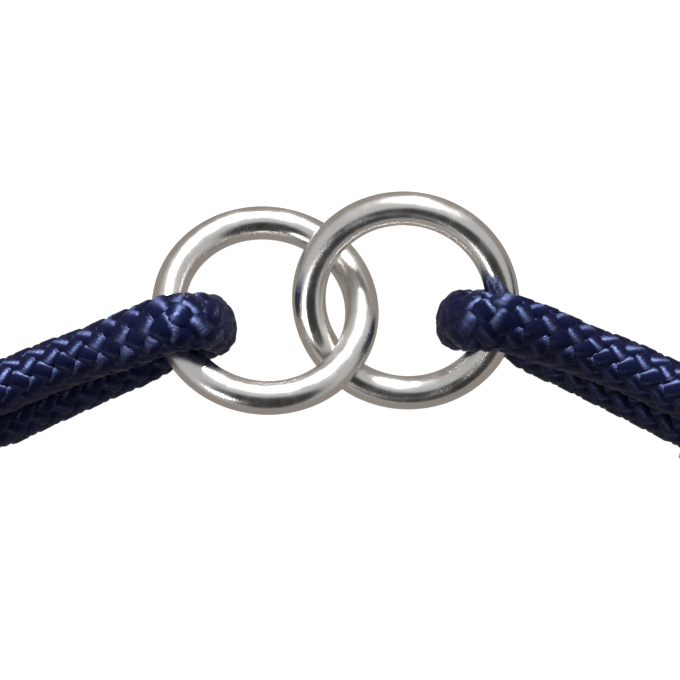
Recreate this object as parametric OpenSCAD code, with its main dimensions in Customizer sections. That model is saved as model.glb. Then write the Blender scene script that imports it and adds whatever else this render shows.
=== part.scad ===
// Lead rope: two linked rings, a doubled strop with a bolt snap on the left ring,
// and a folded lead rope on the right ring whose length lies in a tied hank.

/* [Rings] */
// Inside diameter of each welded ring
ring_inner_d = 38; // [36:0.5:39]
// Thickness of the ring wire
ring_wire_d = 8; // [7:0.5:8]
/* [Rope] */
// Diameter of the braided rope
rope_d = 13; // [12:0.5:13]
// Length of each crimped ferrule
ferrule_l = 22; // [18:1:24]
// Wall of each crimped ferrule
ferrule_wall = 1.7; // [1:0.1:1.7]
/* [Hank] */
// Distance between the middles of the hank's two end loops
hank_run = 115; // [100:5:130]
// Width of the strap that ties the hank
tie_w = 22; // [16:1:30]
/* [Snap] */
// Inside diameter of the snap's swivel eye
eye_inner_d = 20; // [18:0.5:22]
// Outside diameter of the snap's barrel
barrel_d = 12.6; // [12:0.2:13]
// How far the bolt draws back
bolt_travel = 12; // [8:0.5:12]

/* [Hidden] */

navy = [0.05, 0.06, 0.30];
nickel = [0.80, 0.79, 0.76];
steel = [0.62, 0.63, 0.65];
black = [0.08, 0.08, 0.10];

// The point on the floor midway between the rings. The origin is the middle of the metal parts.
rings_at = [89.5, 15.2, 0];

// Rings: the wire's centreline, and each ring's middle and tilt
ring_r = (ring_inner_d + ring_wire_d) / 2;
left_middle = [-16.6, -0.9, 13];
left_tilt = [-22, 5, 0];
left_eye_angle = 194;
right_middle = [16.6, 0.9, 15.4];
right_tilt = [22, -6, 0];
right_eye_angle = -12;

function turned(p, t) =
    let (a = [p.x, p.y * cos(t.x) - p.z * sin(t.x), p.y * sin(t.x) + p.z * cos(t.x)])
    [a.x * cos(t.y) + a.z * sin(t.y), a.y, -a.x * sin(t.y) + a.z * cos(t.y)];
function on_ring(middle, tilt, a) = middle + turned([ring_r * cos(a), ring_r * sin(a), 0], tilt);
function wire_way(tilt, a) = let (t = turned([-sin(a), cos(a), 0], tilt)) t.y < 0 ? -t : t;
function unit(v) = v / norm(v);

// Where each rope bight holds its wire
left_hold = on_ring(left_middle, left_tilt, left_eye_angle);
right_hold = on_ring(right_middle, right_tilt, right_eye_angle);
snap_hold = [-130, -40, 14.9];
eye_wire_r = 2.5;

// A bight: half a turn of rope round a wire, from over it to under it
bight_gap = 1;
bight_half_thick = rope_d / 2 - 1.2;
bight_half_wide = rope_d / 2 + 0.9;
left_lean = 6;
right_lean = -6;
snap_lean = 8;
bight_steps = 8;
function bight(hold, wire_r, heading, way, lean) =
    let (r = wire_r + bight_gap + bight_half_thick,
         inward = [cos(heading), sin(heading), 0],
         over = [0, sin(lean), cos(lean)])
    [for (i = [0 : bight_steps]) let (a = way * (90 - 180 * i / bight_steps))
        hold + r * (cos(a) * inward + sin(a) * over)];

// Ferrules: both lanes of rope lie in one crimped sleeve, one above the other and a little aside
lane_r = rope_d / 2 + 0.1;
lane_half = rope_d / 2 + 0.05;
lane_angle = 64;
ferrule_z = lane_r + ferrule_wall + lane_half * sin(lane_angle) + 0.1;
left_ferrule_at = [-95.5, -29.6, ferrule_z];
left_ferrule_heading = 21;
right_ferrule_at = [96.4, -30.3, ferrule_z];
right_ferrule_heading = -24;

// The lead rope's route: tail, over the right ring's wire, under it, and on to the hank
lead_tail_in = [[115, -35.5, 19], [107.5, -32.4, 20.2], [97.5, -27.8, 20.2], [87.4, -23.3, 20.2],
    [82.5, -21.2, 19.6], [75.6, -17.9, 19], [68.4, -14.6, 18.9], [58.8, -11.1, 19.8], [49.1, -7.7, 23.6]];
lead_out = [[48, -9.2, 6.4], [57.2, -14, 6.5], [66.6, -18.7, 6.5], [73.6, -22.2, 6.6],
    [80.3, -25.8, 7.4], [85.2, -28.2, 8.5], [95.2, -32.8, 8.5], [105.3, -37.2, 8.5], [112, -40, 7.6],
    [120, -43, 6.8], [130, -46.6, 6.5], [140, -49.7, 6.5]];
// The hand end's route, from the hank's top layer down to the floor
lead_end_out = [[152, 23, 19.5], [144, 24, 19], [134, 24.5, 15], [124, 24.5, 9.8], [114, 24.5, 8],
    [106, 24.5, 8]];
// The strop's route: from the ferrule over the left ring's wire, back, round the snap's eye, and in again
strop_in = [[-95, -26.4, 20.2], [-86.2, -23, 20.2], [-80.8, -20.6, 18.9], [-73.5, -17.4, 18.2],
    [-66.3, -14.5, 18.2], [-56.8, -11.3, 20], [-48.8, -8.6, 23.4]];
strop_back = [[-47, -12, 6.6], [-54.8, -15.8, 6.5], [-64.1, -20, 6.5], [-71.1, -23.2, 6.6],
    [-78.2, -26.6, 7.5], [-84.2, -28.4, 8.5], [-94.5, -32.3, 8.5], [-104.8, -36.2, 8.5],
    [-112, -38.8, 7.2], [-121, -40.6, 6.6]];
strop_close = [[-121, -36.4, 22.6], [-113, -33.4, 21], [-106.8, -30.9, 20.2], [-98, -27.6, 20.2]];

lead_heading = 180;
strop_heading = 8;
snap_heading = 188;
lead_route = concat(lead_tail_in, bight(right_hold, ring_wire_d / 2, lead_heading, 1, right_lean),
    lead_out);
strop_route = concat(strop_in, bight(left_hold, ring_wire_d / 2, strop_heading, 1, left_lean),
    strop_back, bight(snap_hold, eye_wire_r, snap_heading, -1, snap_lean), strop_close);

// Hank: end loops are wide and the runs draw in to a waist under the tie
loop_r = 3 * rope_d;
hank_middle = [222.5, -15, 0];
hank_h = 2 * rope_d + 1.5;
waist_half = 2 * rope_d + 0.5;
hank_end_r = loop_r + rope_d / 2;
loop_points = 14;
waist_points = 12;
tie_gap = 0.3;
tie_wall = 1.6;
tie_corner = 4;

// Snap, along +X from the point of the eye that the strop holds
eye_r = eye_inner_d / 2 + eye_wire_r;
snap_dip = 7;
shank_r = 2.5;
shank_end = 36;
barrel_r = barrel_d / 2;
barrel_start = 2 * eye_r + 4;
barrel_end = 66;
top_wall = 4;
window_l = 4.2;
window_w = 9.4;
rivet_r = 4.2;
rivet_l = 2.4;
fit_gap = 0.05;
bolt_r = 3;
bolt_start = 54;
bolt_end = 79.6;
bore_start = bolt_start - bolt_travel - 4;
slot_w = 3.4;
knob_at = 57.5;
stem_r = 1.5;
knob_r = 3.4;
knob_h = 2.6;
hook_r = 12.5;
hook_wire_r = 3.6;
hook_middle = [76.5, -9, 0];
hook_seat = hook_r - 3.2;
neck_at = 54;
neck_turn = -39;
neck_l = 13.6;
neck_r = 3.3;
spring_wire_r = 0.35;
spring_turns = 5;
spring_sides = 6;
spring_steps = 12;

// ---- Rings ----
module wire_ring(middle, tilt) {
    translate(rings_at + middle) rotate(tilt)
        rotate_extrude($fn = 96) translate([ring_r, 0]) circle(ring_wire_d / 2, $fn = 48);
}

module left_ring() { color(nickel) wire_ring(left_middle, left_tilt); }
module right_ring() { color(nickel) wire_ring(right_middle, right_tilt); }

// ---- Ropes ----
tube_sides = 12;
squeeze_from = 22;
squeeze_to = 11;

// How much a bight flattens the rope at p: 1 at the wire, 0 away from it
function squeeze(p, hold) = max(0, min(1, (squeeze_from - norm(p - hold)) / (squeeze_from - squeeze_to)));

function along(route, i) = let (n = len(route) - 1) unit(route[min(n, i + 1)] - route[max(0, i - 1)]);

// Holds are [point, way of the wire]. The rope's width turns to lie along the wire that it goes round.
function section(p, t, holds) =
    let (each_flat = [for (h = holds) squeeze(p, h[0])], flat = max(each_flat),
         wire = holds[search(flat, each_flat)[0]][1],
         level = [0, 1, 0] * (1 - flat) + wire * flat,
         side = unit(level - t * (level * t)), out = cross(t, side),
         wide = rope_d / 2 + flat * (bight_half_wide - rope_d / 2),
         thick = rope_d / 2 + flat * (bight_half_thick - rope_d / 2))
    [for (k = [0 : tube_sides - 1]) let (a = (k + 0.5) * 360 / tube_sides)
        p + wide * cos(a) * side + thick * sin(a) * out];

module tube(route, holds) {
    last = len(route) - 1;
    points = [for (i = [0 : last]) each section(route[i], along(route, i), holds)];
    walls = [for (i = [0 : last - 1], k = [0 : tube_sides - 1])
        let (a = i * tube_sides, b = a + tube_sides, m = (k + 1) % tube_sides)
        each [[a + k, a + m, b + m], [a + k, b + m, b + k]]];
    start = [for (k = [tube_sides - 1 : -1 : 0]) k];
    end = [for (k = [0 : tube_sides - 1]) last * tube_sides + k];
    translate(rings_at) polyhedron(points, concat([start], walls, [end]));
}

right_grip = [right_hold, wire_way(right_tilt, right_eye_angle)];
left_grip = [left_hold, wire_way(left_tilt, left_eye_angle)];
snap_grip = [snap_hold, [-sin(snap_heading - 180), cos(snap_heading - 180), 0]];
module lead_rope() { color(navy) tube(lead_route, [right_grip]); }
module lead_end() { color(navy) tube(lead_end_out, [right_grip]); }
module strop_rope() { color(navy) tube(strop_route, [left_grip, snap_grip]); }

// Two touching rope lanes as one outline, grown by a wall
module lanes(wall) {
    rotate(lane_angle) {
        for (s = [-1, 1]) translate([s * lane_half, 0]) circle(lane_r + wall, $fn = 64);
        square([2 * lane_half, 2 * (lane_r + wall)], center = true);
    }
}

module ferrule(at, heading) {
    translate(rings_at + at) rotate([0, 0, heading]) rotate([90, 0, 90])
        linear_extrude(ferrule_l, center = true) difference() {
            lanes(ferrule_wall);
            lanes(0);
        }
}

module lead_ferrule() { color(steel) ferrule(right_ferrule_at, right_ferrule_heading); }
module strop_ferrule() { color(steel) ferrule(left_ferrule_at, left_ferrule_heading); }

// ---- Hank ----
// Half the hank's width at x from its middle: round ends, and a cosine draw to the waist
function half_width(x) =
    let (run = hank_run / 2, past = abs(x) - run)
    past > 0 ? sqrt(max(0, hank_end_r * hank_end_r - past * past))
             : waist_half + (hank_end_r - waist_half) * (1 - cos(180 * abs(x) / run)) / 2;

module hank_outline() {
    run = hank_run / 2;
    xs = concat(
        [for (i = [0 : loop_points]) run + hank_end_r * cos(90 * i / loop_points)],
        [for (i = [1 : 2 * waist_points - 1]) run - hank_run * i / (2 * waist_points)],
        [for (i = [loop_points : -1 : 0]) -run - hank_end_r * cos(90 * i / loop_points)]);
    last = len(xs) - 1;
    polygon(concat([for (x = xs) [x, half_width(x)]],
        [for (i = [last - 1 : -1 : 1]) [xs[i], -half_width(xs[i])]]));
}

module rounded_box_outline(w, h, r) {
    square([w - 2 * r, h], center = true);
    square([w, h - 2 * r], center = true);
    for (x = [-1, 1], y = [-1, 1]) translate([x * (w / 2 - r), y * (h / 2 - r)]) circle(r, $fn = 32);
}

// A band round the hank's waist, lying along X
module waist_band(w, from, to) {
    translate(rings_at + hank_middle + [0, 0, (hank_h + 2 * tie_wall) / 2]) rotate([90, 0, 90])
        linear_extrude(w, center = true) difference() {
            rounded_box_outline(2 * to + 2 * waist_half, 2 * to + hank_h, tie_corner + to);
            if (from > -waist_half)
                rounded_box_outline(2 * from + 2 * waist_half, 2 * from + hank_h, tie_corner + from);
        }
}

module lead_hank() {
    color(navy) difference() {
        translate(rings_at + hank_middle) linear_extrude(hank_h + tie_wall) hank_outline();
        waist_band(tie_w + 2 * tie_gap, 0, 3 * tie_wall);
    }
}

module hank_tie() { color(black) waist_band(tie_w, tie_gap, tie_wall); }

cap_l = 18;
cap_wall = 1.2;
module hand_end_cap() {
    end = lead_end_out[len(lead_end_out) - 1];
    color(steel) translate(rings_at + end) rotate([0, -90, 0]) difference() {
        union() {
            translate([0, 0, cap_wall - cap_l + 2]) cylinder(r = lane_r + cap_wall, h = cap_l - 2, $fn = 64);
            translate([0, 0, cap_wall]) cylinder(r = lane_r, h = 2 - cap_wall + 0.8, $fn = 64);
        }
        translate([0, 0, -cap_l]) cylinder(r = lane_r, h = cap_l, $fn = 64);
    }
}

// ---- Snap ----
module snap_place() {
    translate(rings_at + snap_hold) rotate([0, snap_dip, snap_heading]) children();
}

module rod(r, from, to) {
    translate([from, 0, 0]) rotate([0, 90, 0]) cylinder(r = r, h = to - from, $fn = 48);
}

module swivel_eye() {
    color(nickel) snap_place() {
        translate([eye_r, 0, 0]) rotate_extrude($fn = 72) translate([eye_r, 0])
            circle(eye_wire_r, $fn = 36);
        rod(shank_r, 2 * eye_r, shank_end);
        rod(shank_r + 1.6, 2 * eye_r + 1, barrel_start - 0.3);
    }
}

// The peened head that keeps the shank in the barrel
module swivel_rivet() {
    head = barrel_start + top_wall + 0.3;
    color(nickel) snap_place() difference() {
        rod(rivet_r, head, head + rivet_l);
        rod(shank_r, head - 1, shank_end);
    }
}

module barrel() {
    rod(barrel_r, barrel_start, barrel_end);
    for (x = [barrel_start, barrel_end - 3]) rod(barrel_r + 0.6, x, x + 3);
}

module hook() {
    sweep = 272;
    // The neck joins the hook to the side of the barrel
    translate([neck_at, 0, 0]) rotate([0, 0, neck_turn]) rod(neck_r, 0, neck_l);
    translate(hook_middle) rotate([0, 0, 134]) rotate_extrude(angle = sweep, $fn = 96)
        difference() {
            translate([hook_r, 0]) circle(hook_wire_r, $fn = 48);
            translate([hook_seat - 10, -5]) square(10);
        }
}

module snap_body() {
    window = barrel_start + top_wall;
    color(nickel) snap_place() difference() {
        union() {
            barrel();
            hook();
        }
        rod(shank_r + fit_gap, barrel_start - 1, window + 1);
        translate([window, -window_w / 2, -barrel_r - 1]) cube([window_l, window_w, 2 * barrel_r + 2]);
        rod(bolt_r + fit_gap, bore_start, barrel_end + 8);
        translate([knob_at - bolt_travel - slot_w / 2 - 0.3, -slot_w / 2, 0])
            cube([bolt_travel + slot_w + 0.6, slot_w, barrel_r + 1]);
        translate([barrel_end, -hook_wire_r - 1, -hook_wire_r - 1])
            cube([bolt_end + 0.3 - barrel_end, 2 * hook_wire_r + 2, 2 * hook_wire_r + 2]);
    }
}

module snap_bolt() {
    color(steel) snap_place() difference() {
        rod(bolt_r, bolt_start, bolt_end);
        translate([knob_at, 0, 0]) cylinder(r = stem_r, h = bolt_r + 1, $fn = 32);
    }
}

module bolt_knob() {
    color(nickel) snap_place() translate([knob_at, 0, 0]) {
        cylinder(r = stem_r, h = barrel_r + 1.4, $fn = 32);
        translate([0, 0, barrel_r + 1]) cylinder(r = knob_r, h = knob_h, $fn = 48);
    }
}

// A helix swept with a small many-sided wire
module bolt_spring() {
    l = bolt_start - bore_start - 2 * spring_wire_r - 0.2;
    r = bolt_r - spring_wire_r - 0.2;
    last = spring_turns * spring_steps;
    points = [for (i = [0 : last]) let (a = i * 360 / spring_steps)
        for (k = [0 : spring_sides - 1]) let (b = k * 360 / spring_sides, q = r + spring_wire_r * cos(b))
            [bore_start + spring_wire_r + 0.1 + l * i / last + spring_wire_r * sin(b),
             q * cos(a), q * sin(a)]];
    walls = [for (i = [0 : last - 1], k = [0 : spring_sides - 1])
        let (a = i * spring_sides, b = a + spring_sides, m = (k + 1) % spring_sides)
        each [[a + k, b + m, a + m], [a + k, b + k, b + m]]];
    start = [for (k = [0 : spring_sides - 1]) k];
    end = [for (k = [spring_sides - 1 : -1 : 0]) last * spring_sides + k];
    color(steel) snap_place() polyhedron(points, concat([start], walls, [end]));
}

left_ring();
right_ring();
lead_rope();
lead_ferrule();
lead_hank();
lead_end();
hank_tie();
hand_end_cap();
strop_rope();
strop_ferrule();
swivel_eye();
swivel_rivet();
snap_body();
snap_bolt();
bolt_knob();
bolt_spring();
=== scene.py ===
"""The lead rope's looks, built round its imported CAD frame. Lengths are in metres and +Z is up."""
import math

import bpy
import numpy as np
from mathutils import Matrix, Vector


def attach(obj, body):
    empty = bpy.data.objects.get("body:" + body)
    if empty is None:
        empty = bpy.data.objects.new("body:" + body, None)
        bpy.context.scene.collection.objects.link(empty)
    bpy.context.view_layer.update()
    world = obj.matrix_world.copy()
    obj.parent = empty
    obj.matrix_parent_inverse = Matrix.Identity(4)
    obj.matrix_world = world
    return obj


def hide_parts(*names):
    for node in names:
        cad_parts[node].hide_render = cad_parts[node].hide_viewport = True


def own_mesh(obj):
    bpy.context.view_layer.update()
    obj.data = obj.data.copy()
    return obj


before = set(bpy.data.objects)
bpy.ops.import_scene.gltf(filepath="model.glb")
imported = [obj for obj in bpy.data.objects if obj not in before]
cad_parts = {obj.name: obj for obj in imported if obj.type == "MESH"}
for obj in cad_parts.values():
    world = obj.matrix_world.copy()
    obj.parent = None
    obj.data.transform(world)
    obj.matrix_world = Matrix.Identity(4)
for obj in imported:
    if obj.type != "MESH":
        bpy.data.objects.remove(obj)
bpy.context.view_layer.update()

# ---- Sizes and places, as in part.scad ----
ROPE_D = 0.013
RING_R = 0.023
WIRE_R = 0.004
EYE_WIRE_R = 0.0025
# The point on the floor midway between the rings
RINGS_AT = np.array([0.0895, 0.0152, 0.0])

LEFT_MIDDLE, LEFT_TILT, LEFT_EYE_ANGLE = np.array([-0.0166, -0.0009, 0.013]), (-22, 5), 194
RIGHT_MIDDLE, RIGHT_TILT, RIGHT_EYE_ANGLE = np.array([0.0166, 0.0009, 0.0154]), (22, -6), -12
SNAP_HOLD = np.array([-0.130, -0.040, 0.0149])
SNAP_HEADING, SNAP_DIP, SNAP_LEAN = 188, 7, 8
LEAD_HEADING, LEAD_LEAN = 180, -6
STROP_HEADING, STROP_LEAN = 8, 6

# A rope bight is flattened where it holds a wire
BIGHT_HALF_THICK = 0.0053
BIGHT_HALF_WIDE = 0.0074
BIGHT_GAP = 0.001
BIGHT_POINTS = 24

LEAD_TAIL_IN = [
    (0.115, -0.0355, 0.019), (0.1075, -0.0324, 0.0202), (0.0975, -0.0278, 0.0202),
    (0.0874, -0.0233, 0.0202), (0.0825, -0.0212, 0.0196), (0.0756, -0.0179, 0.019),
    (0.0684, -0.0146, 0.0189), (0.0588, -0.0111, 0.0198), (0.0491, -0.0077, 0.0236)]
LEAD_OUT = [
    (0.048, -0.0092, 0.0064), (0.0572, -0.014, 0.0065), (0.0666, -0.0187, 0.0065),
    (0.0736, -0.0222, 0.0066), (0.0803, -0.0258, 0.0074), (0.0852, -0.0282, 0.0085),
    (0.0952, -0.0328, 0.0085), (0.1053, -0.0372, 0.0085), (0.112, -0.040, 0.0076),
    (0.120, -0.043, 0.0068), (0.130, -0.0466, 0.0065), (0.140, -0.0497, 0.0065)]
LEAD_END_OUT = [
    (0.152, 0.023, 0.0195), (0.144, 0.024, 0.019), (0.134, 0.0245, 0.015),
    (0.124, 0.0245, 0.0098), (0.114, 0.0245, 0.008), (0.106, 0.0245, 0.008)]
STROP_IN = [
    (-0.095, -0.0264, 0.0202), (-0.0862, -0.023, 0.0202), (-0.0808, -0.0206, 0.0189),
    (-0.0735, -0.0174, 0.0182), (-0.0663, -0.0145, 0.0182), (-0.0568, -0.0113, 0.020),
    (-0.0488, -0.0086, 0.0234)]
STROP_BACK = [
    (-0.047, -0.012, 0.0066), (-0.0548, -0.0158, 0.0065), (-0.0641, -0.02, 0.0065),
    (-0.0711, -0.0232, 0.0066), (-0.0782, -0.0266, 0.0075), (-0.0842, -0.0284, 0.0085),
    (-0.0945, -0.0323, 0.0085), (-0.1048, -0.0362, 0.0085), (-0.112, -0.0388, 0.0072),
    (-0.121, -0.0406, 0.0066)]
STROP_CLOSE = [
    (-0.121, -0.0364, 0.0226), (-0.113, -0.0334, 0.021), (-0.1068, -0.0309, 0.0202),
    (-0.098, -0.0276, 0.0202)]

# The hank: its end loops stand apart by HANK_RUN, in two layers
HANK_MIDDLE = np.array([0.2225, -0.015, 0.0])
HANK_RUN = 0.115
LAYER_Z = (0.0066, 0.0196)
WAIST_LIFT = 0.0017
WAIST_HALF_LENGTH = 0.024


# ---- Lines ----
def turn(tilt):
    """The rotation of a part that is tilted about X and then about Y, in degrees."""
    about_x = Matrix.Rotation(math.radians(tilt[0]), 3, "X")
    about_y = Matrix.Rotation(math.radians(tilt[1]), 3, "Y")
    return np.array(about_y @ about_x)


def flat_way(degrees):
    """The level direction at this many degrees from +X."""
    a = math.radians(degrees)
    return np.array([math.cos(a), math.sin(a), 0.0])


def unit(v):
    return v / np.linalg.norm(v, axis=-1, keepdims=True)


def ring_grip(middle, tilt, angle):
    """The point of a ring's wire at an angle, and the way that the wire runs there."""
    point = middle + turn(tilt) @ (RING_R * flat_way(angle))
    way = turn(tilt) @ flat_way(angle + 90)
    return point, way if way[1] > 0 else -way


def bight(hold, wire_r, heading, first_up, lean):
    """Half a turn of rope round a wire. first_up is 1 where the rope comes in over the wire."""
    r = wire_r + BIGHT_GAP + BIGHT_HALF_THICK
    over = np.array([0.0, math.sin(math.radians(lean)), math.cos(math.radians(lean))])
    angles = [first_up * math.pi * (0.5 - i / BIGHT_POINTS) for i in range(BIGHT_POINTS + 1)]
    return [hold + r * (math.cos(a) * flat_way(heading) + math.sin(a) * over) for a in angles]


def hank_line():
    """The hank's turns. A lane is a place across the hank, counted in rope diameters."""
    run = HANK_RUN / 2
    loop_points, run_points = 16, 14
    points = []

    def add(x, lane, z):
        lift = WAIST_LIFT * math.exp(-(x / WAIST_HALF_LENGTH) ** 2)
        points.append(HANK_MIDDLE + np.array([x, lane * ROPE_D, z + lift]))

    def straight(lobe, waist, z, way):
        for i in range(1, run_points):
            x = way * run * (2 * i / run_points - 1)
            add(x, waist + (lobe - waist) * (1 - math.cos(math.pi * abs(x) / run)) / 2, z)

    def loop(lane_in, lane_out, reach, way, z_in, z_out):
        for i in range(loop_points + 1):
            a = math.pi * i / loop_points
            middle, half = (lane_in + lane_out) / 2, (lane_in - lane_out) / 2
            climb = 1 - (1 - i / loop_points) ** 2
            add(way * (run + reach * ROPE_D * math.sin(a)), middle + half * math.cos(a),
                z_in + (z_out - z_in) * climb)

    low, high = LAYER_Z
    # Each pass: waist lane in, right loop (in, out, reach), waist lane out, left loop, heights
    passes = [
        (-3, -1.5, (-3, 3, 3), 1.5, (3, -2, 3), low, low),
        (-2, -0.5, (-2, 2, 2), 0.5, (2, -2, 2), low, high),
        (-2, -0.5, (-2, 2, 2), 0.5, (2, -3, 3), high, high),
        (-3, -1.5, (-3, 3, 3), 1.5, None, high, high)]
    add(-run, passes[0][0], low)
    for lobe, waist_in, right, waist_out, left, z, z_next in passes:
        straight(lobe, waist_in, z, 1)
        loop(*right, 1, z, z)
        straight(right[1], waist_out, z, -1)
        if left:
            loop(*left, -1, z, z_next)
    add(-run, passes[-1][2][1], high)
    return points


CURVE_STEPS = 20


def smooth_line(points):
    """A centripetal Catmull-Rom curve through the points, in CURVE_STEPS steps from each to the next."""
    p = np.array(points)
    p = np.vstack([2 * p[0] - p[1], p, 2 * p[-1] - p[-2]])
    fine = []
    for a, b, c, d in zip(p, p[1:], p[2:], p[3:]):
        t1 = math.sqrt(np.linalg.norm(b - a))
        t2 = t1 + math.sqrt(np.linalg.norm(c - b))
        t3 = t2 + math.sqrt(np.linalg.norm(d - c))
        t = np.linspace(t1, t2, CURVE_STEPS, endpoint=False)[:, None]
        ab = a + (b - a) * t / t1
        bc = b + (c - b) * (t - t1) / (t2 - t1)
        cd = c + (d - c) * (t - t2) / (t3 - t2)
        abc = ab + (bc - ab) * t / t2
        bcd = bc + (cd - bc) * (t - t1) / (t3 - t1)
        fine.append(abc + (bcd - abc) * (t - t1) / (t2 - t1))
    return np.vstack([*fine, p[-2:-1]])


def length_along(line):
    """The distance of each point of a line from its start."""
    return np.concatenate([[0], np.cumsum(np.linalg.norm(np.diff(line, axis=0), axis=1))])


def at_lengths(line, lengths):
    """The points of a line at these distances from its start."""
    along = length_along(line)
    return np.stack([np.interp(lengths, along, line[:, i]) for i in range(3)], axis=1)


def frames_along(line):
    """Tangents and two cross directions that turn as little as they can along the line."""
    tangent = unit(np.gradient(line, axis=0))
    first = np.zeros_like(line)
    up = np.array([0.0, 0.0, 1.0])
    first[0] = unit(up - tangent[0] * (tangent[0] @ up))
    for i in range(len(line) - 1):
        step = line[i + 1] - line[i]
        square = max(step @ step, 1e-18)
        side = first[i] - 2 / square * (step @ first[i]) * step
        ahead = tangent[i] - 2 / square * (step @ tangent[i]) * step
        error = tangent[i + 1] - ahead
        turned = side - 2 / max(error @ error, 1e-18) * (error @ side) * error
        first[i + 1] = unit(turned - tangent[i + 1] * (tangent[i + 1] @ turned))
    return tangent, first, np.cross(tangent, first)


left_grip = ring_grip(LEFT_MIDDLE, LEFT_TILT, LEFT_EYE_ANGLE)
right_grip = ring_grip(RIGHT_MIDDLE, RIGHT_TILT, RIGHT_EYE_ANGLE)
snap_grip = (SNAP_HOLD, flat_way(SNAP_HEADING - 90))
lead_line = RINGS_AT + smooth_line([
    *LEAD_TAIL_IN, *bight(right_grip[0], WIRE_R, LEAD_HEADING, 1, LEAD_LEAN), *LEAD_OUT,
    *hank_line(), *LEAD_END_OUT])
strop_line = RINGS_AT + smooth_line([
    *STROP_IN, *bight(left_grip[0], WIRE_R, STROP_HEADING, 1, STROP_LEAN), *STROP_BACK,
    *bight(SNAP_HOLD, EYE_WIRE_R, SNAP_HEADING, -1, SNAP_LEAN), *STROP_CLOSE])

# ---- Camera: straight above but for 3 degrees, framing the rings and both bights ----
CAMERA_ELEVATION = 87
CAMERA_DISTANCE = 0.9
VIEW_WIDTH = 0.1611
SENSOR_MM = 36
VIEW_AT = RINGS_AT + np.array([0.0011, -0.0082, 0.014])


def make_camera():
    data = bpy.data.cameras.new("camera")
    camera = bpy.data.objects.new("camera", data)
    bpy.context.scene.collection.objects.link(camera)
    tilt = math.radians(CAMERA_ELEVATION)
    back = Vector((0, -math.cos(tilt), math.sin(tilt)))
    camera.location = Vector(VIEW_AT) + back * CAMERA_DISTANCE
    camera.rotation_euler = (-back).to_track_quat("-Z", "Y").to_euler()
    data.sensor_width = SENSOR_MM
    data.lens = SENSOR_MM * CAMERA_DISTANCE / VIEW_WIDTH
    data.clip_start, data.clip_end = 0.01, 100
    bpy.context.scene.camera = camera


make_camera()


# ---- Meshes ----
def add_mesh(name, points, faces, uvs=None, smooth=True):
    """A mesh object. uvs holds one pair for each corner, in the faces' order."""
    mesh = bpy.data.meshes.new(name)
    if isinstance(faces, np.ndarray):
        faces = faces.tolist()
    mesh.from_pydata(np.asarray(points).tolist(), [], faces)
    if uvs is not None:
        layer = mesh.uv_layers.new(name="fibres")
        layer.data.foreach_set("uv", np.asarray(uvs, np.float32).ravel())
    mesh.polygons.foreach_set("use_smooth", [smooth] * len(mesh.polygons))
    mesh.validate()
    obj = bpy.data.objects.new(name, mesh)
    bpy.context.scene.collection.objects.link(obj)
    return obj


def tube_faces(rings, sides, start, closed=False):
    """Quads of a tube of rings of points, whose first point has the number start."""
    i = np.arange(rings if closed else rings - 1)[:, None]
    k = np.arange(sides)[None, :]
    after, ahead = (k + 1) % sides, (i + 1) % rings
    return (start + np.stack([i * sides + k, i * sides + after, ahead * sides + after,
                              ahead * sides + k], axis=-1)).reshape(-1, 4)


# ---- The braided rope ----
STRANDS_EACH_WAY = 6
STRAND_TURN = 0.0384
STRAND_MIDDLE_R = 0.00492
STRAND_WEAVE = 0.00058
STRAND_HALF_WIDE = 0.00285
STRAND_HALF_THICK = 0.00098
# Below 1, a strand's section is squarer than an ellipse
STRAND_SQUARENESS = 0.62
# How closely a strand's section bends round the rope
STRAND_WRAP = 1.25
STRAND_SIDES = 10
STEP_FINE, STEP_COARSE = 0.0005, 0.0011
# Breadth of the pattern of fibres all the way round a strand
FIBRES_ROUND = 13.0
CORE_R = 0.0043
CORE_SIDES = 16
# A rope is round beyond SQUEEZE_FROM from the wire it holds, and flattest within SQUEEZE_TO
SQUEEZE_FROM = 0.022
SQUEEZE_TO = 0.011
# The sealed end's nose: its length, and how much of its section's area goes at the tip
SEALED_END = 0.0035
SEALED_DRAW = 0.94
# How far the braid is turned about each rope, so that one row of crowns lies 22 degrees from the top
LEAD_PHASE = math.radians(-8)
STROP_PHASE = math.radians(-22)


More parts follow.
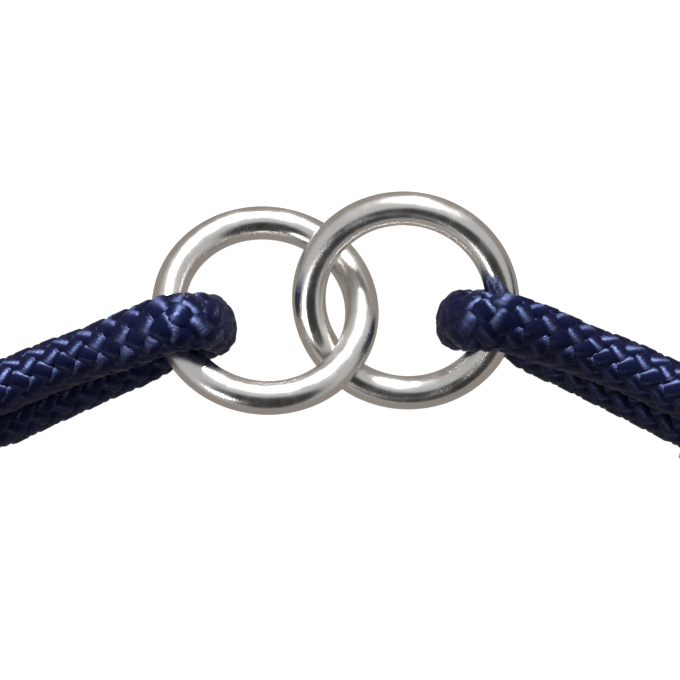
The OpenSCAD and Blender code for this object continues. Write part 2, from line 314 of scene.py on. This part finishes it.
def braid(name, line, grips, fine_until, phase, sealed_start=False):
    """A hollow braid over a core, as one mesh: two sets of strands that wind opposite ways and
    pass over and under each other. It is finer up to the length fine_until."""
    total = length_along(line)[-1]
    sides = STRAND_SIDES
    fine_until = min(fine_until, total)
    fine_count = round(fine_until / STEP_FINE)
    coarse_count = round((total - fine_until) / STEP_COARSE)
    lengths = np.linspace(0, fine_until, fine_count + 1)
    if coarse_count:
        lengths = np.concatenate([lengths, np.linspace(fine_until, total, coarse_count + 1)[1:]])
    centre = at_lengths(line, lengths)
    tangent, first, second = frames_along(centre)

    # How flat the rope is, and the way of its width
    flat = np.zeros(len(centre))
    width_way = np.tile([0.0, 1.0, 0.0], (len(centre), 1))
    for point, wire in grips:
        away = np.linalg.norm(centre - RINGS_AT - point, axis=1)
        amount = np.clip((SQUEEZE_FROM - away) / (SQUEEZE_FROM - SQUEEZE_TO), 0, 1)
        amount = amount * amount * (3 - 2 * amount)
        nearer = amount > flat
        width_way[nearer] = wire
        flat = np.maximum(flat, amount)
    width_way = unit(width_way - tangent * np.sum(tangent * width_way, axis=1)[:, None])
    thick_way = np.cross(tangent, width_way)
    wider = flat * (2 * BIGHT_HALF_WIDE / ROPE_D - 1)
    thinner = flat * (2 * BIGHT_HALF_THICK / ROPE_D - 1)

    # A sealed end draws in to a rounded nose
    draw = np.ones(len(centre))
    if sealed_start:
        near = np.clip(1 - lengths / SEALED_END, 0, 1)
        draw = np.sqrt(1 - SEALED_DRAW * near ** 2)

    def placed(offsets):
        """Points of the rope's round form, as arrays (ring, side, xyz), pressed flat at the grips."""
        along_width = np.sum(offsets * width_way[:, None], axis=2) * wider[:, None]
        along_thick = np.sum(offsets * thick_way[:, None], axis=2) * thinner[:, None]
        offsets = (offsets + along_width[..., None] * width_way[:, None]
                   + along_thick[..., None] * thick_way[:, None])
        return centre[:, None] + offsets * draw[:, None, None]

    # A strand's section is a plump flat oval, bent round the rope
    cos_around = np.cos(2 * np.pi * np.arange(sides) / sides)
    sin_around = np.sin(2 * np.pi * np.arange(sides) / sides)
    sideways = STRAND_HALF_WIDE * np.sign(cos_around) * np.abs(cos_around) ** STRAND_SQUARENESS
    height = (STRAND_HALF_THICK * np.sign(sin_around) * np.abs(sin_around) ** STRAND_SQUARENESS
              - STRAND_WRAP * sideways ** 2 / ROPE_D)

    points, faces, uvs = [], [], []
    count = 0
    for way in (1, -1):
        weave = way * np.cos(2 * np.pi * STRANDS_EACH_WAY * lengths / STRAND_TURN)
        radius = STRAND_MIDDLE_R + STRAND_WEAVE * weave * (1.5 - 0.5 * weave ** 2)
        for j in range(STRANDS_EACH_WAY):
            angle = phase + 2 * np.pi * (j / STRANDS_EACH_WAY + way * lengths / STRAND_TURN)
            radial = np.cos(angle)[:, None] * first + np.sin(angle)[:, None] * second
            middle = radius[:, None] * radial
            ahead = unit(np.gradient(centre + middle, lengths, axis=0))
            across = unit(np.cross(ahead, radial))
            upward = np.cross(across, ahead)
            offsets = (middle[:, None] + sideways[None, :, None] * across[:, None]
                       + height[None, :, None] * upward[:, None])
            points.append(placed(offsets).reshape(-1, 3))
            quads = tube_faces(len(lengths), sides, 0)
            # The UV map runs in millimetres along the strand, and over FIBRES_ROUND round it
            strand_length = length_along(centre + middle)
            u = strand_length[quads // sides] * 1000
            side_number = quads % sides
            side_number = np.where((side_number == 0) & (quads[:, [0]] % sides == sides - 1),
                                   sides, side_number)
            v = (side_number / sides + j + (0 if way == 1 else STRANDS_EACH_WAY)) * FIBRES_ROUND
            faces.append(quads + count)
            uvs.append(np.stack([u, v], axis=-1).reshape(-1, 2))
            count += len(lengths) * sides
    core_sides = CORE_SIDES
    core_around = 2 * np.pi * np.arange(core_sides) / core_sides
    core = CORE_R * (np.cos(core_around)[None, :, None] * first[:, None]
                     + np.sin(core_around)[None, :, None] * second[:, None])
    points.append(placed(core).reshape(-1, 3))
    quads = tube_faces(len(lengths), core_sides, count)
    faces.append(quads)
    uvs.append(np.zeros((quads.size, 2)))
    strand_total = count
    caps = []
    last = len(lengths) - 1
    for start in range(0, strand_total, len(lengths) * sides):
        caps.append([start + k for k in reversed(range(sides))])
        caps.append([start + last * sides + k for k in range(sides)])
    caps.append([strand_total + k for k in reversed(range(core_sides))])
    caps.append([strand_total + last * core_sides + k for k in range(core_sides)])
    cap_uvs = np.zeros((sum(len(c) for c in caps), 2))
    obj = add_mesh(name, np.vstack(points), np.vstack(faces).tolist() + caps,
                   np.vstack([*uvs, cap_uvs]))
    return obj, centre


# ---- Materials ----
class Shader:
    """A material's node tree, with short ways to add and join nodes."""

    def __init__(self, name):
        self.material = bpy.data.materials.new(name)
        self.material.use_nodes = True
        self.tree = self.material.node_tree
        self.surface = self.tree.nodes["Principled BSDF"]

    def feed(self, socket, value):
        """Join an output to a socket, or set the socket's own value."""
        if isinstance(value, bpy.types.NodeSocket):
            self.tree.links.new(value, socket)
        else:
            socket.default_value = value

    def node(self, kind, settings=None, **inputs):
        made = self.tree.nodes.new("ShaderNode" + kind)
        for key, value in (settings or {}).items():
            setattr(made, key, value)
        for key, value in inputs.items():
            self.feed(made.inputs[key.replace("_", " ")], value)
        return made

    def set(self, **inputs):
        for key, value in inputs.items():
            self.feed(self.surface.inputs[key.replace("_", " ")], value)

    def math(self, operation, a, b):
        made = self.node("Math", {"operation": operation})
        self.feed(made.inputs[0], a)
        self.feed(made.inputs[1], b)
        return made.outputs[0]

    def ramp(self, factor, low, high, to_low=0.0, to_high=1.0):
        return self.node("MapRange", {"interpolation_type": "SMOOTHSTEP"}, Value=factor, From_Min=low,
                         From_Max=high, To_Min=to_low, To_Max=to_high).outputs[0]

    def mix(self, factor, a, b):
        made = self.node("MixRGB", Fac=factor)
        for socket, value in zip(made.inputs[1:], (a, b)):
            self.feed(socket, (*value, 1) if isinstance(value, tuple) else value)
        return made.outputs[0]

    def place(self, kind="Object", scale=(1, 1, 1)):
        source = self.node("TexCoord").outputs[kind]
        return self.node("Mapping", Vector=source, Scale=scale).outputs[0]

    def noise(self, vector, scale, detail=3.0, roughness=0.55):
        return self.node("TexNoise", Vector=vector, Scale=scale, Detail=detail,
                         Roughness=roughness).outputs[0]

    def bump(self, height, strength, distance):
        return self.node("Bump", Height=height, Strength=strength, Distance=distance).outputs[0]


def rope_material():
    """Multifilament polypropylene: navy, with bright bluish glints along its fibres."""
    s = Shader("rope_braid")
    bundle = s.noise(s.place("UV", (0.10, 1.5, 1.0)), 1.0, 2.0)
    thread = s.noise(s.place("UV", (0.30, 5.0, 1.0)), 1.0, 2.0)
    patchy = s.noise(s.place("Object"), 110.0, 3.0)
    colour = s.mix(s.ramp(thread, 0.35, 0.7), (0.0002, 0.0004, 0.007), (0.0007, 0.0010, 0.016))
    colour = s.mix(s.ramp(patchy, 0.40, 0.75, 0.0, 0.5), colour, (0.0022, 0.0010, 0.012))
    tangent = s.node("Tangent", {"direction_type": "UV_MAP", "uv_map": "fibres"}).outputs[0]
    height = s.math("ADD", s.math("MULTIPLY", bundle, 0.8), s.math("MULTIPLY", thread, 0.5))
    s.set(Base_Color=colour, Roughness=s.ramp(bundle, 0.3, 0.7, 0.34, 0.46), Anisotropic=0.95,
          Anisotropic_Rotation=0.25, Tangent=tangent, IOR=1.4, Specular_IOR_Level=1.0,
          Specular_Tint=(0.36, 0.46, 1.0, 1.0), Normal=s.bump(height, 1.0, 0.00030))
    return s.material


def metal_material(name, colour, roughness, grain=1.0):
    """Plated metal with fine scratches, cloudy polish and a warm stain in places."""
    s = Shader(name)
    where = s.place("Object")
    cloud = s.noise(where, 160.0, 4.0)
    grit = s.noise(where, 5200.0, 3.0, 0.7)
    scratch = s.noise(s.place("Object", (1.0, 0.12, 1.0)), 2600.0, 2.0)
    stain = s.ramp(s.noise(where, 70.0, 4.0), 0.60, 0.80, 0.0, 0.35)
    worn = s.mix(stain, colour, tuple(c * k for c, k in zip(colour, (0.80, 0.72, 0.62))))
    rough = s.math("ADD", s.ramp(cloud, 0.3, 0.75, roughness * 0.8, roughness * 1.35),
                   s.math("MULTIPLY", s.ramp(scratch, 0.55, 0.75), 0.05))
    height = s.math("ADD", s.math("MULTIPLY", grit, 0.5), s.math("MULTIPLY", scratch, 0.5))
    s.set(Base_Color=worn, Metallic=1.0, Roughness=rough,
          Normal=s.bump(height, 0.6 * grain, 0.00003))
    return s.material


def webbing_material():
    """Black strap webbing. The tie has no UV map of its own, so the weave comes out as one tone."""
    s = Shader("tie_webbing")
    rib = s.node("TexWave", {"wave_type": "BANDS", "bands_direction": "DIAGONAL"},
                 Vector=s.place("UV"), Scale=0.6, Distortion=0.4).outputs[1]
    thread = s.noise(s.place("UV", (3.0, 9.0, 1.0)), 1.0, 2.0)
    colour = s.mix(rib, (0.006, 0.006, 0.010), (0.022, 0.022, 0.034))
    height = s.math("ADD", rib, s.math("MULTIPLY", thread, 0.5))
    s.set(Base_Color=colour, Roughness=0.75, Sheen_Weight=0.2, Sheen_Roughness=0.4,
          Specular_IOR_Level=0.3, Normal=s.bump(height, 0.8, 0.0002))
    return s.material


def dress(obj, material):
    obj.data.materials.clear()
    obj.data.materials.append(material)


ROPE = rope_material()
RING_METAL = metal_material("ring_nickel", (0.86, 0.84, 0.815), 0.22, 1.3)
FERRULE_METAL = metal_material("ferrule_steel", (0.56, 0.56, 0.56), 0.30)
SNAP_METAL = metal_material("snap_nickel", (0.66, 0.65, 0.62), 0.22)
BOLT_STEEL = metal_material("bolt_steel", (0.58, 0.58, 0.60), 0.26)
WEBBING = webbing_material()

# ---- Pieces: ropes ----
LEAD_FINE_UNTIL = 0.16
lead, lead_path = braid("lead_braid", lead_line, [right_grip], LEAD_FINE_UNTIL, LEAD_PHASE,
                        sealed_start=True)
strop, strop_path = braid("strop_braid", strop_line, [left_grip, snap_grip], math.inf, STROP_PHASE)
for rope, body, nodes in ((lead, "lead", ("lead_rope", "lead_hank", "lead_end")),
                          (strop, "strop", ("strop_rope",))):
    dress(rope, ROPE)
    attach(rope, body)
    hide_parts(*nodes)

# ---- Pieces: rings ----
RING_STEPS, WIRE_SIDES = 256, 64
for side, middle, tilt in (("left", LEFT_MIDDLE, LEFT_TILT), ("right", RIGHT_MIDDLE, RIGHT_TILT)):
    a = 2 * np.pi * np.arange(RING_STEPS)[:, None] / RING_STEPS
    b = 2 * np.pi * np.arange(WIRE_SIDES)[None, :] / WIRE_SIDES
    local = np.stack([(RING_R + WIRE_R * np.cos(b)) * np.cos(a),
                      (RING_R + WIRE_R * np.cos(b)) * np.sin(a),
                      WIRE_R * np.sin(b) + 0 * a], axis=-1).reshape(-1, 3)
    points = RINGS_AT + middle + local @ turn(tilt).T
    ring = add_mesh(side + "_ring_wire", points, tube_faces(RING_STEPS, WIRE_SIDES, 0, closed=True))
    dress(ring, RING_METAL)
    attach(ring, side + "_ring")
    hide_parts(side + "_ring")

# ---- CAD nodes that keep their own shape ----
for node, material in (
        ("lead_ferrule", FERRULE_METAL), ("strop_ferrule", FERRULE_METAL), ("hank_tie", WEBBING),
        ("hand_end_cap", FERRULE_METAL), ("swivel_eye", SNAP_METAL), ("swivel_rivet", SNAP_METAL),
        ("snap_body", SNAP_METAL), ("snap_bolt", BOLT_STEEL), ("bolt_knob", SNAP_METAL)):
    dress(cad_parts[node], material)

# ---- Pieces: the snap's spring, built as one fixed coil; in the real snap it shortens as the bolt goes back ----
SNAP_WAY = Matrix.Rotation(math.radians(SNAP_HEADING), 3, "Z") @ (
    Matrix.Rotation(math.radians(SNAP_DIP), 3, "Y"))


def snap_place(points):
    """From the snap's frame, with x along it from the wire that it hangs on, to the row frame."""
    return RINGS_AT + SNAP_HOLD + np.asarray(points) @ np.array(SNAP_WAY).T


SPRING_START, SPRING_END, SPRING_SHORTEST = 0.0381, 0.0539, 0.0038
SPRING_R, SPRING_WIRE_R, SPRING_TURNS = 0.00245, 0.00035, 5
STEPS_A_TURN = 36
spring_rings, spring_sides = STEPS_A_TURN * SPRING_TURNS + 1, 12
a = np.linspace(0, 2 * np.pi * SPRING_TURNS, spring_rings)[:, None]
b = 2 * np.pi * np.arange(spring_sides)[None, :] / spring_sides
coil_r = SPRING_R + SPRING_WIRE_R * np.cos(b)
advance = np.linspace(SPRING_START + SPRING_WIRE_R, SPRING_END - SPRING_WIRE_R, spring_rings)[:, None]
coil = np.stack([advance + SPRING_WIRE_R * np.sin(b), coil_r * np.cos(a), coil_r * np.sin(a)], axis=-1)
last_ring = (spring_rings - 1) * spring_sides
spring = add_mesh("bolt_spring_coil", snap_place(coil.reshape(-1, 3)),
                  tube_faces(spring_rings, spring_sides, 0).tolist()
                  + [list(reversed(range(spring_sides))), [last_ring + k for k in range(spring_sides)]])
dress(spring, BOLT_STEEL)
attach(spring, "snap")
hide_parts("bolt_spring")
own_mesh(spring)


# ---- Floor and light ----
def make_floor():
    """A white floor that gives no reflection, and far round it a white wall that only shows."""
    half, wall_r, wall_h, sides = 15.0, 14.0, 12.0, 64
    floor = add_mesh("floor", [(-half, -half, 0), (half, -half, 0), (half, half, 0), (-half, half, 0)],
                     [[0, 1, 2, 3]], smooth=False)
    a = 2 * np.pi * np.arange(sides) / sides
    wall = add_mesh("backdrop", [(wall_r * math.cos(k), wall_r * math.sin(k), z)
                                 for z in (0, wall_h) for k in a], tube_faces(2, sides, 0))
    s = Shader("floor_white")
    speck = s.noise(s.place("Object"), 3.0, 2.0)
    s.set(Base_Color=s.mix(speck, (0.10, 0.10, 0.10), (0.11, 0.11, 0.11)), Roughness=0.9,
          Specular_IOR_Level=0.0, Emission_Color=(1.0, 1.0, 1.0, 1.0), Emission_Strength=1.0)
    dress(floor, s.material)
    dress(wall, s.material)
    floor.visible_glossy = wall.visible_glossy = False
    wall.visible_diffuse = wall.visible_shadow = False


def sun(name, towards, strength, width):
    """A far soft light. towards is the way to it, and width its width in degrees."""
    data = bpy.data.lights.new(name, "SUN")
    data.energy, data.angle = strength, math.radians(width)
    light = bpy.data.objects.new(name, data)
    light.rotation_euler = Vector(towards).to_track_quat("Z", "Y").to_euler()
    light.location = Vector(towards)
    bpy.context.scene.collection.objects.link(light)


DIM_WAY = unit(np.array([0.10, -0.62, 0.78]))
DIM_WITHIN, DIM_FADES_BY = 34, 46
DIM_COLOUR, GROUND_COLOUR, SKY_COLOUR = (0.03, 0.03, 0.03), (0.30, 0.27, 0.245), (0.50, 0.50, 0.50)
SKY_FROM_Z = 0.30


def make_world():
    """A grey studio sky, warmer and darker low down, with one dim patch high on the -Y side."""
    world = bpy.data.worlds.new("studio")
    bpy.context.scene.world = world
    world.use_nodes = True
    tree = world.node_tree
    background = tree.nodes["Background"]
    way = tree.nodes.new("ShaderNodeTexCoord").outputs["Generated"]
    dot = tree.nodes.new("ShaderNodeVectorMath")
    dot.operation = "DOT_PRODUCT"
    tree.links.new(way, dot.inputs[0])
    dot.inputs[1].default_value = DIM_WAY
    ramp = tree.nodes.new("ShaderNodeMapRange")
    ramp.interpolation_type = "SMOOTHSTEP"
    tree.links.new(dot.outputs["Value"], ramp.inputs["Value"])
    ramp.inputs["From Min"].default_value = math.cos(math.radians(DIM_FADES_BY))
    ramp.inputs["From Max"].default_value = math.cos(math.radians(DIM_WITHIN))
    split = tree.nodes.new("ShaderNodeSeparateXYZ")
    tree.links.new(way, split.inputs[0])
    rise = tree.nodes.new("ShaderNodeMapRange")
    rise.interpolation_type = "SMOOTHSTEP"
    tree.links.new(split.outputs["Z"], rise.inputs["Value"])
    rise.inputs["From Min"].default_value = 0.0
    rise.inputs["From Max"].default_value = SKY_FROM_Z
    ground = tree.nodes.new("ShaderNodeMixRGB")
    tree.links.new(rise.outputs[0], ground.inputs[0])
    ground.inputs[1].default_value = (*GROUND_COLOUR, 1)
    ground.inputs[2].default_value = (*SKY_COLOUR, 1)
    mix = tree.nodes.new("ShaderNodeMixRGB")
    tree.links.new(ramp.outputs[0], mix.inputs[0])
    tree.links.new(ground.outputs[0], mix.inputs[1])
    mix.inputs[2].default_value = (*DIM_COLOUR, 1)
    tree.links.new(mix.outputs[0], background.inputs["Color"])
    background.inputs["Strength"].default_value = 1.0


make_floor()
make_world()
sun("key", (0.0, 0.84, 0.54), 8.5, 18)
sun("left", (-0.48, -0.64, 0.59), 0.35, 16)
bpy.context.scene.view_settings.view_transform = "Standard"

bpy.context.view_layer.update()
